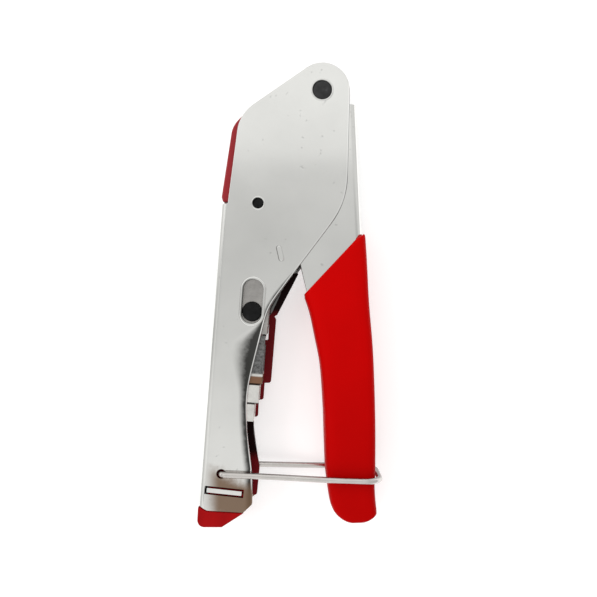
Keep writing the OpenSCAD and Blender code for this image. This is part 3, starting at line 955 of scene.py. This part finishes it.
class TOOL_OT_bail(bpy.types.Operator):
    """Wire bail hinged in the cheeks and looped over the grip"""

    bl_idname = "tool_maker.bail"
    bl_label = "Bail"

    def execute(self, context):
        """One tube: in through the cheek, a bend, an arm that spreads as a smooth step, and the loop.

        The rear half is the front half turned over, and the whole leans a little across the tool.
        """
        low, high = node_box("bail_wire")
        r = sizes().wire
        reach, gap = 66.9 * MM, 0.35 * MM
        arm = CHEEK_HALF + gap + r
        spread = (high[2] - low[2]) / 2 - r
        bend, loop = 2.4 * MM, 6.5 * MM
        q = np.linspace(0, math.pi / 2, 25)
        s = np.linspace(0, 1, 60)
        step = (3 - 2 * s) * s**2
        stub = np.stack([np.zeros(8), np.linspace(CHEEK_HALF - 2 * MM, arm - bend, 8)], 1)
        first = np.stack([bend - bend * np.cos(q), arm - bend + bend * np.sin(q)], 1)[1:]
        along = np.stack([(12 + 40 * s) * MM, arm + (spread - arm) * step], 1)
        end = np.stack([reach - loop + loop * np.sin(q), spread - loop + loop * np.cos(q)], 1)
        front = np.vstack([stub, first, along, end])
        line = np.vstack([front, (front * [1, -1])[::-1]])
        run = np.r_[0, np.cumsum(np.linalg.norm(np.diff(line, axis=0), axis=1))]
        even = np.linspace(0, run[-1], 361)
        x, z = (np.interp(even, run, line[:, k]) for k in (0, 1))
        lean = math.radians(-2.0)
        path = np.stack([x * math.cos(lean), x * math.sin(lean), z], 1) + [BAIL[0], BAIL[1], MID_Z]
        sides = 24
        points, faces = tube(path, r, sides, [-math.sin(lean), math.cos(lean), 0])
        turn = np.linspace(0, 2 * math.pi, sides, endpoint=False)
        # Painted shade along the wire's two sides in the floor's plane, its edges as seen from above.
        share = np.r_[np.tile(0.75 * np.abs(np.sin(turn)) ** 5, len(path)), 0.0, 0.0]
        wire = put("bail_wire_bent", points, faces, "wire", "bail", ["bail_wire"])
        painted_shade(outward(wire), share)
        return {"FINISHED"}


class TOOL_OT_stage(bpy.types.Operator):
    """Pale floor, soft studio light and the camera over the tool"""

    bl_idname = "tool_maker.stage"
    bl_label = "Stage"

    def execute(self, context):
        self.floor()
        self.sky()
        self.lamps()
        self.camera()
        return {"FINISHED"}

    def floor(self):
        """A square sheet just under the tool."""
        half, drop = 3.0, 0.0002
        square = ((-half, -half), (half, -half), (half, half), (-half, half))
        corners = [(x, y, -drop) for x, y in square]
        mesh = bpy.data.meshes.new("floor")
        mesh.from_pydata(corners, [], [[0, 1, 2, 3]])
        mesh.materials.append(material("floor"))
        floor = bpy.data.objects.new("floor", mesh)
        bpy.context.scene.collection.objects.link(floor)

    def sky(self):
        """A studio sky: how bright it is along y times how bright it is along x, both over height."""
        world = bpy.data.worlds.new("studio")
        bpy.context.scene.world = world
        world.use_nodes = True
        tree = world.node_tree
        place = tree.nodes.new("ShaderNodeTexCoord").outputs["Generated"]
        parts = tree.nodes.new("ShaderNodeSeparateXYZ")
        tree.links.new(place, parts.inputs[0])
        height = tree.nodes.new("ShaderNodeMath")
        height.operation = "MAXIMUM"
        height.inputs[1].default_value = 0.05
        tree.links.new(parts.outputs["Z"], height.inputs[0])

        def lean(axis, reach, stops):
            """A grey ramp over axis / height, from -reach to reach."""
            over = tree.nodes.new("ShaderNodeMath")
            over.operation = "DIVIDE"
            tree.links.new(parts.outputs[axis], over.inputs[0])
            tree.links.new(height.outputs[0], over.inputs[1])
            span = tree.nodes.new("ShaderNodeMapRange")
            span.inputs["From Min"].default_value = -reach
            span.inputs["From Max"].default_value = reach
            tree.links.new(over.outputs[0], span.inputs["Value"])
            ramp = tree.nodes.new("ShaderNodeValToRGB")
            line = ramp.color_ramp.elements
            while len(line) < len(stops):
                line.new(0.5)
            for element, (where, grey) in zip(line, stops):
                element.position = (where / reach + 1) / 2
                element.color = (grey, grey, grey * 0.99, 1.0)
            tree.links.new(span.outputs[0], ramp.inputs["Fac"])
            return ramp.outputs["Color"]

        up = lean("Y", 1.0, [
            (-1.0, 0.9), (-0.3, 0.86), (-0.2, 0.84), (-0.145, 0.75), (-0.07, 0.7), (0.0, 0.67),
            (0.05, 0.65), (0.143, 0.67), (0.193, 0.71), (0.207, 0.87), (0.3, 0.96), (1.0, 1.0),
        ])
        side = lean("X", 3.0, [
            (-3.0, 0.75), (-2.0, 0.85), (-1.2, 1.05), (-0.7, 1.15), (-0.35, 0.95), (-0.1, 1.0),
            (0.09, 1.0), (0.25, 0.88), (0.6, 0.78), (1.2, 0.76), (2.0, 0.78), (3.0, 0.7),
        ])
        both = tree.nodes.new("ShaderNodeMix")
        both.data_type = "RGBA"
        both.blend_type = "MULTIPLY"
        both.inputs[0].default_value = 1.0
        tree.links.new(up, both.inputs[6])
        tree.links.new(side, both.inputs[7])
        tree.links.new(both.outputs[2], tree.nodes["Background"].inputs["Color"])
        tree.nodes["Background"].inputs["Strength"].default_value = 1.0

    def lamps(self):
        """Large soft panels off to the sides, each facing the tool: place, side and power in watts."""
        rows = [
            ("key_panel", (-0.95, 0.15, 0.9), 0.8, 6.5),
            ("head_panel", (0.1, 1.0, 0.75), 0.7, 3.0),
            ("foot_panel", (0.15, -1.0, 0.8), 0.7, 3.0),
        ]
        for name, where, size, power in rows:
            data = bpy.data.lights.new(name, "AREA")
            data.shape = "SQUARE"
            data.size = size
            data.energy = power
            lamp = bpy.data.objects.new(name, data)
            lamp.location = where
            lamp.visible_glossy = False
            way = -np.array(where)
            lamp.rotation_euler = (
                math.acos(-way[2] / np.linalg.norm(way)), 0, math.atan2(way[1], way[0]) - math.pi / 2,
            )
            bpy.context.scene.collection.objects.link(lamp)

    def camera(self):
        """Straight above the tool, looking down, at hand distance."""
        away = 290 * MM
        across = 250.74 * MM
        data = bpy.data.cameras.new("camera")
        data.sensor_width = 36.0
        data.lens = data.sensor_width * away / across
        data.clip_start = 0.01
        camera = bpy.data.objects.new("camera", data)
        aim = beside(-10.04, -87.7)
        camera.location = (aim[0], aim[1], BODY_HIGH[2] + away)
        bpy.context.scene.collection.objects.link(camera)
        bpy.context.scene.camera = camera
        bpy.context.scene.view_settings.view_transform = "Standard"


class TOOL_PT_panel(bpy.types.Panel):
    """Buttons for each group of pieces"""

    bl_label = "Compression tool"
    bl_idname = "TOOL_PT_panel"
    bl_space_type = "VIEW_3D"
    bl_region_type = "UI"
    bl_category = "Tool maker"

    def draw(self, context):
        for group in (context.scene.tool_sizes, context.scene.tool_colours):
            for key in group.bl_rna.properties.keys():
                if key not in ("rna_type", "name"):
                    self.layout.prop(group, key)
        for maker in MAKERS:
            self.layout.operator(maker.bl_idname)


MAKERS = (
    TOOL_OT_stage, TOOL_OT_body, TOOL_OT_beads, TOOL_OT_dash, TOOL_OT_pins, TOOL_OT_mouldings,
    TOOL_OT_works, TOOL_OT_spring, TOOL_OT_handle, TOOL_OT_grip, TOOL_OT_bail,
)
CLASSES = (ToolSizes, ToolColours, *MAKERS, TOOL_PT_panel)


def register():
    for cls in CLASSES:
        bpy.utils.register_class(cls)
    bpy.types.Scene.tool_sizes = PointerProperty(type=ToolSizes)
    bpy.types.Scene.tool_colours = PointerProperty(type=ToolColours)


def unregister():
    del bpy.types.Scene.tool_colours
    del bpy.types.Scene.tool_sizes
    for cls in reversed(CLASSES):
        bpy.utils.unregister_class(cls)


def main():
    """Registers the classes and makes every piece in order."""
    register()
    for maker in MAKERS:
        group, name = maker.bl_idname.split(".")
        getattr(getattr(bpy.ops, group), name)()


if __name__ == "__main__":
    main()
